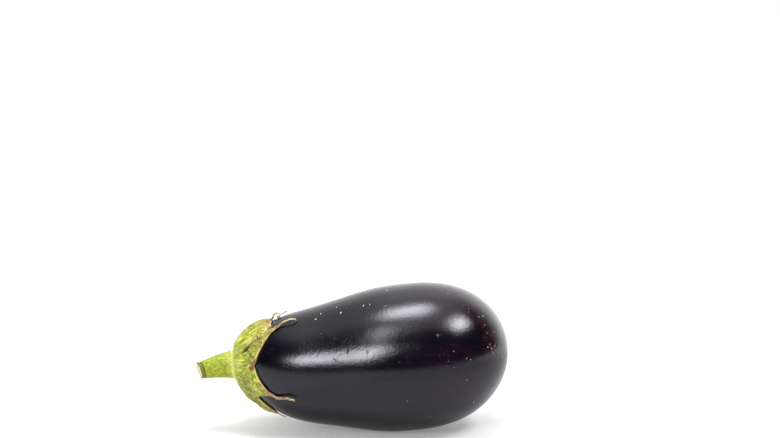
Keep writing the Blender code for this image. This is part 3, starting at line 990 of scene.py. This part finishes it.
def skin_material(stroke):
    """Waxy skin, almost black: purple where it thins and reddish where it rusts, with fine waves,
    dust, scratches, round pits and the flower's small corky scar."""
    material, tree, surface = new_material("eggplant skin")
    place = turned_place(tree)
    streaky = stretched(place, (0.16, 1, 1))
    reach, rusty = attribute(tree, "reach"), attribute(tree, "rusty")
    wobble = cloud(place, 900, 2)
    shift = scaled(wobble, 0.0009, -0.00045)
    shifted = add_node(tree, "ShaderNodeCombineXYZ", {0: shift, 1: shift, 2: shift}).outputs[0]
    wobbly = vector_sum("ADD", place, shifted)[0]

    def stroke_at(distance, degrees, along, half_length, half_width):
        return add_node(tree, "ShaderNodeGroup", {
            "Place": wobbly, "Middle": unturned(over_skin(distance * MM, degrees)), "Along": along,
            "Half Length": half_length * MM, "Half Width": half_width * MM,
        }, node_tree=stroke).outputs

    grooves, lips = 0, 0
    for distance, degrees, half_length, half_width, lean in SCRATCHES:
        along = unturned(stroke_lean(distance, degrees, lean))
        marks = stroke_at(distance, degrees, along, half_length, half_width)
        grooves = greatest(marks["Mask"], grooves)
        lips = greatest(span(marks["Distance"], 2.2, 1), lips)
    for distance, degrees, radius in RING_PITS:
        away = stroke_at(distance, degrees, (1, 0, 0), 0.25 * radius, radius)["Distance"]
        grooves = greatest(product(span(away, 1, 0.75), span(away, 0.4, 0.7)), grooves)

    purple = product(span(cloud(streaky, 60, 4, 0.6), 0.36, 0.66), span(reach, 0.38, 0.75))
    blush = product(rusty, span(cloud(place, 330, 4, 0.7), 0.3, 0.6, 0.35, 1))
    rust = product(span(cells(place, 900), 0.24, 0.1), span(rusty, 0.4, 1))
    dust = product(span(cells(place, 640), 0.13, 0.04), span(cloud(place, 90, 2), 0.5, 0.7))
    bloom = span(cloud(streaky, 130, 5, 0.7), 0.5, 0.85)
    scar = span(scaled(wobble, 0.012, reach), 0.989, 0.995, 0, 0.85)
    colour = layered(
        (0.002, 0.0016, 0.0036),
        (purple, (0.0085, 0.0026, 0.0068)),
        (product(blush, 0.7), (0.013, 0.0025, 0.0045)),
        (rust, (0.11, 0.035, 0.012)),
        (product(dust, 0.8), (0.22, 0.22, 0.25)),
        (product(bloom, 0.035), (0.12, 0.12, 0.18)),
        (product(grooves, 0.5), (0.02, 0.016, 0.02)),
        (scar, blend_colour(wobble, (0.06, 0.03, 0.014), (0.27, 0.18, 0.1))),
    )
    gloss = scaled(cloud(streaky, 85, 4, 0.65), 0.12, span(reach, 0.36, 0.2, 0.1, 0.13))
    rough = greatest(dust, rust, product(grooves, 0.7), scar)

    waves = scaled(cloud(place, 380, 2), 0.5, cloud(place, 120, 1))
    grains = scaled(cells(place, 700), 0.5, cloud(place, 850, 3, 0.65))
    peel = scaled(cells(place, 1500), 0.4, cloud(place, 1900, 2))
    relief = scaled(grooves, -1.6, greatest(product(lips, 0.35), rust, dust))
    normal = bump(waves, 0.5, 0.00011)
    normal = bump(grains, 0.5, 0.0001, normal)
    normal = bump(peel, 0.35, 0.00003, normal)
    set_inputs(surface, {
        "Base Color": colour, "Roughness": scaled(rough, 0.3, gloss), "IOR": 1.45,
        "Specular Tint": (0.94, 0.93, 1, 1), "Normal": bump(relief, 0.9, 0.00022, normal),
    })
    return material


def speck_material():
    """Dry cork, from white to rust brown by the speck's own tone."""
    material, tree, surface = new_material("corky specks")
    mottle = cloud(turned_place(tree), 2600.0, 2)
    light = span(mottle, 0.35, 0.65)
    white = blend_colour(light, (0.36, 0.35, 0.36), (0.72, 0.7, 0.68))
    rust = blend_colour(light, (0.13, 0.06, 0.03), (0.45, 0.31, 0.15))
    set_inputs(surface, {
        "Base Color": blend_colour(span(attribute(tree, "tone"), 0.1, 0.6), white, rust),
        "Roughness": scaled(mottle, 0.3, 0.5), "Normal": bump(mottle, 0.6, 0.0001),
    })
    return material


def calyx_material(tissue):
    """Fleshy yellow-green, streaked along the lobes and paler on ribs and margins, with freckles,
    bruises, and dry brown tips that end in straw-coloured threads. Painted shade darkens the
    hollows, the fold, the underside and one wide spot on the lower lobe."""
    material, tree, surface = new_material("calyx tissue")
    place = turned_place(tree)
    over = attribute(tree, "over", "Vector")
    away = parts_of(over)[0]
    flesh, thread, relief = (attribute(tree, name) for name in ("flesh", "thread", "relief"))
    parts = add_node(tree, "ShaderNodeGroup", {
        "Place": place, "Blotch Scale": 190, "Grain Scale": 780, "Freckle Scale": 520,
        "Freckle Size": 0.24,
    }, node_tree=tissue).outputs
    streaks = cloud(stretched(over, (0.45, 1, 1)), 520, 5, 0.7)
    dashed = cloud(stretched(over, (0.4, 1, 1)), 1000, 5, 0.75)
    mottle = cloud(place, 360, 5, 0.7)

    dashes = product(span(dashed, 0.51, 0.62), span(away, 16 * MM, 27 * MM, 0, 0.9))
    margin = blend_colour(span(mottle, 0.35, 0.6), (0.34, 0.2, 0.08), (0.64, 0.5, 0.24))
    fresh_margin = blend_colour(span(flesh, 0.5, 0.12), margin, (0.56, 0.53, 0.13))
    ragged = scaled(streaks, 0.9, -0.45)
    tip = span(sums("ADD", sums("ADD", flesh, thread), ragged), 0.72, 1)
    patch = span(scaled(ragged, 1.2, attribute(tree, "dry_place")), 0.3, 0.7)
    straw = blend_colour(span(mottle, 0.38, 0.62), (0.1, 0.038, 0.012), (0.38, 0.23, 0.095))
    pale = blend_colour(span(streaks, 0.4, 0.6), (0.2, 0.12, 0.07), (0.52, 0.4, 0.27))
    colour = layered(
        (0.135, 0.19, 0.006),
        (parts["Blotch"], (0.355, 0.4, 0.02)),
        (span(streaks, 0.45, 0.68, 0, 0.9), (0.76, 0.76, 0.15)),
        (span(mottle, 0.5, 0.34, 0, 0.9), (0.07, 0.1, 0.004)),
        (span(relief, -0.1, 0.7, 0, 0.5), (0.68, 0.66, 0.2)),
        # Painted shade: darker where the relief sinks, in the hollows, the fold and the dents
        (span(relief, -0.45, -1.3, 0, 0.75), (0.09, 0.09, 0.008)),
        (product(parts["Dark Dots"], 0.7), (0.1, 0.115, 0.006)),
        (product(parts["Pale Dots"], 0.4), (0.74, 0.72, 0.2)),
        # Dark bruises, and painted shade on the lower lobe from the wide spot at 161 degrees
        (product(attribute(tree, "bruise_and_painted_shade"), span(mottle, 0.35, 0.6, 1, 0.4)), (0.085, 0.085, 0.01)),
        (product(parts["Freckles"], 0.85), (0.07, 0.045, 0.01)),
        (span(away, CALYX_HOLE, CALYX_HOLE + 4 * MM, 0.75, 0), (0.72, 0.71, 0.19)),
        (span(away, 21 * MM, 34 * MM, 0, 0.5), (0.25, 0.2, 0.055)),
        (dashes, (0.19, 0.075, 0.022)),
        (span(scaled(streaks, 0.14, attribute(tree, "lip")), 0.94, 1.02, 0, 0.95), margin),
        # Painted shade in the fold under the overlapping lobe
        (product(attribute(tree, "painted_fold_shade"), 0.85), (0.04, 0.034, 0.006)),
        (span(scaled(streaks, 0.16, attribute(tree, "edge")), 0.98, 1.06), fresh_margin),
        # Painted shade on the underside and the lower half of the rims
        (span(attribute(tree, "under"), 0.2, 0.6, 0, 0.85), (0.1, 0.065, 0.018)),
        (greatest(tip, patch), blend_colour(span(thread, 0.02, 0.3, 0, 0.85), straw, pale)),
    )
    normal = bump(streaks, 0.7, 0.0006)
    normal = bump(parts["Height"], 0.7, 0.0003, normal)
    set_inputs(surface, TISSUE_SURFACE | {
        "Base Color": colour, "Roughness": scaled(parts["Grain"], 0.2, 0.42),
        "Normal": bump(cloud(place, 1900, 3, 0.7), 0.4, 0.00012, normal),
    })
    return material


def stem_material(tissue):
    """Green bark with pale lengthways streaks, a dry olive collar, and a pale pithy cut."""
    material, tree, surface = new_material("stem bark")
    place = stretched(turned_place(tree), (0.4, 1, 1))
    share, inwards = attribute(tree, "share"), attribute(tree, "inwards")
    parts = add_node(tree, "ShaderNodeGroup", {
        "Place": place, "Blotch Scale": 300, "Grain Scale": 1050, "Freckle Scale": 600,
        "Freckle Size": 0.15,
    }, node_tree=tissue).outputs
    worn = sums("ADD", share, scaled(cloud(place, 420, 3), 0.07, -0.035))
    collar = span(worn, COLLAR_SHARE - 0.012, COLLAR_SHARE + 0.012)
    line = product(collar, span(worn, COLLAR_SHARE + 0.06, COLLAR_SHARE + 0.02))
    bark = layered(
        (0.1, 0.083, 0.008),
        (parts["Blotch"], (0.21, 0.185, 0.014)),
        (line, (0.06, 0.055, 0.006)),
    )
    rings = span(cloud(place, 900, 3), 0.35, 0.65)
    uneven = scaled(rings, 0.12, inwards)
    pith = layered(
        (0.5, 0.45, 0.2),
        (rings, (0.82, 0.76, 0.48)),
        (span(uneven, 0.34, 0.2, 0, 0.9), (0.2, 0.17, 0.03)),
        (span(uneven, 0.12, 0.06, 0, 0.8), (0.36, 0.3, 0.09)),
    )
    colour = layered(
        (0.12, 0.165, 0.005),
        (parts["Blotch"], (0.3, 0.345, 0.014)),
        (product(parts["Grain"], 0.45), (0.44, 0.48, 0.03)),
        (span(share, 0.42, 0.26, 0, 0.4), (0.6, 0.6, 0.13)),
        (product(parts["Dark Dots"], 0.75), (0.09, 0.11, 0.005)),
        (product(parts["Pale Dots"], 0.35), (0.6, 0.64, 0.11)),
        (product(parts["Freckles"], 0.7), (0.1, 0.1, 0.012)),
        (product(collar, 0.9), bark),
        (span(inwards, 0, 0.03), pith),
    )
    set_inputs(surface, TISSUE_SURFACE | {
        "Base Color": colour, "Roughness": scaled(parts["Grain"], 0.2, 0.4),
        "Normal": bump(parts["Height"], 0.7, 0.00035),
    })
    return material


def build_floor():
    """A wide pale floor that turns into the backdrop's own white far from the eggplant."""
    mesh = bpy.data.meshes.new("floor")
    half = FLOOR_HALF_WIDTH
    corners = [(-half, -half, 0), (half, -half, 0), (half, half, 0), (-half, half, 0)]
    mesh.from_pydata(corners, [], [(0, 1, 2, 3)])
    floor = add_object("floor", mesh)
    material, tree, surface = new_material("pale floor")
    set_inputs(surface, {"Base Color": (0.6, 0.6, 0.61, 1), "Roughness": 0.6, "Specular IOR Level": 0.1})
    place = object_place(tree)
    x, y, _ = parts_of(place)
    near = stretched(place, (0.85, 1.4, 1))
    away = add_node(tree, "ShaderNodeVectorMath", {0: near}, operation="LENGTH").outputs["Value"]
    back = sums("ADD", y, greatest(x, 0))
    seen = add_node(tree, "ShaderNodeLightPath").outputs["Is Camera Ray"]
    bounce = span(x, -0.06, -0.12, 0, 0.32)
    lift = scaled(sums("SUBTRACT", 0.16, bounce), seen, bounce)

    def glow(strength):
        inputs = {"Color": (1, 1, 1, 1), "Strength": strength}
        return add_node(tree, "ShaderNodeEmission", inputs).outputs[0]

    both = add_node(tree, "ShaderNodeMixShader", {
        0: span(away, 0.11, 0.34, 0.05, 1), 1: surface.outputs[0], 2: glow(span(back, 0.2, 0.7, 1.04, 1.8)),
    })
    whole = add_node(tree, "ShaderNodeAddShader", {0: both.outputs[0], 1: glow(lift)})
    set_inputs(tree.nodes["Material Output"], {"Surface": whole.outputs[0]})
    mesh.materials.append(material)


def add_softbox(box):
    """An area light that faces the fruit and fades towards its edges."""
    light = bpy.data.lights.new(box.name, "AREA")
    light.shape = "RECTANGLE"
    light.size = box.width
    light.size_y = box.height
    light.energy = box.radiance * box.width * box.height * math.pi
    light.use_nodes = True
    tree = light.node_tree
    across, up, _ = parts_of(add_node(tree, "ShaderNodeNewGeometry").outputs["Parametric"])
    strength = 1
    for share, low, high in ((across, box.sides, box.sides), (up, box.foot, box.head)):
        fade = product(span(share, 0, low), span(share, 1 - high, 1, 1, 0))
        strength = product(strength, fade)
    set_inputs(tree.nodes["Emission"], {"Strength": strength})
    obj = add_object(box.name, light)
    turn, rise = math.radians(box.azimuth), math.radians(box.elevation)
    direction = Vector((math.sin(turn) * math.cos(rise), -math.cos(turn) * math.cos(rise), math.sin(rise)))
    obj.location = Vector(LIGHT_AIM) + direction * LIGHT_DISTANCE
    leaning = Quaternion((0, 0, 1), math.radians(-box.lean))
    obj.rotation_euler = (direction.to_track_quat("Z", "Y") @ leaning).to_euler()
    obj.visible_camera = False


def light_the_studio():
    """White behind the fruit, a dim room in front of it, a pale ceiling, and the soft boxes."""
    world = bpy.data.worlds.new("studio")
    bpy.context.scene.world = world
    world.use_nodes = True
    tree = world.node_tree
    x, y, z = parts_of(add_node(tree, "ShaderNodeTexCoord").outputs["Generated"])
    behind = product(span(y, 0.18, 0.75), span(x, -0.7, 0.7, 0.6, 1.8))
    ceiling = span(z, 0.72, 0.98, 0, 1.5)
    glow = sums("ADD", scaled(behind, 1.3, 0.03), ceiling)
    seen = add_node(tree, "ShaderNodeLightPath").outputs["Is Camera Ray"]
    strength = scaled(sums("SUBTRACT", 1, seen), glow, seen)
    set_inputs(tree.nodes["Background"], {"Color": (1, 1, 1, 1), "Strength": strength})
    for box in SOFTBOXES:
        add_softbox(box)


def place_camera():
    camera = bpy.data.cameras.new("camera")
    camera.lens = CAMERA_LENS
    camera.sensor_width = 36
    camera.clip_start = 0.05
    obj = add_object("camera", camera)
    obj.location = CAMERA_PLACE
    obj.rotation_euler = [math.radians(angle) for angle in CAMERA_TURN]
    bpy.context.scene.camera = obj


def build_eggplant():
    stroke, tissue = stroke_group(), tissue_group()
    for build, material, node, slot in (
        (build_fruit, skin_material(stroke), "fruit", "skin"),
        (build_calyx, calyx_material(tissue), "calyx", "calyx"),
        (build_stem, stem_material(tissue), "stem", "stem"),
    ):
        piece = build()
        piece.data.materials.append(material)
        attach(piece, "root")
        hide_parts(node)
    specks = build_specks(speck_material())
    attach(specks, "root")


bpy.context.scene.view_settings.view_transform = "Standard"
build_eggplant()
build_floor()
light_the_studio()
place_camera()
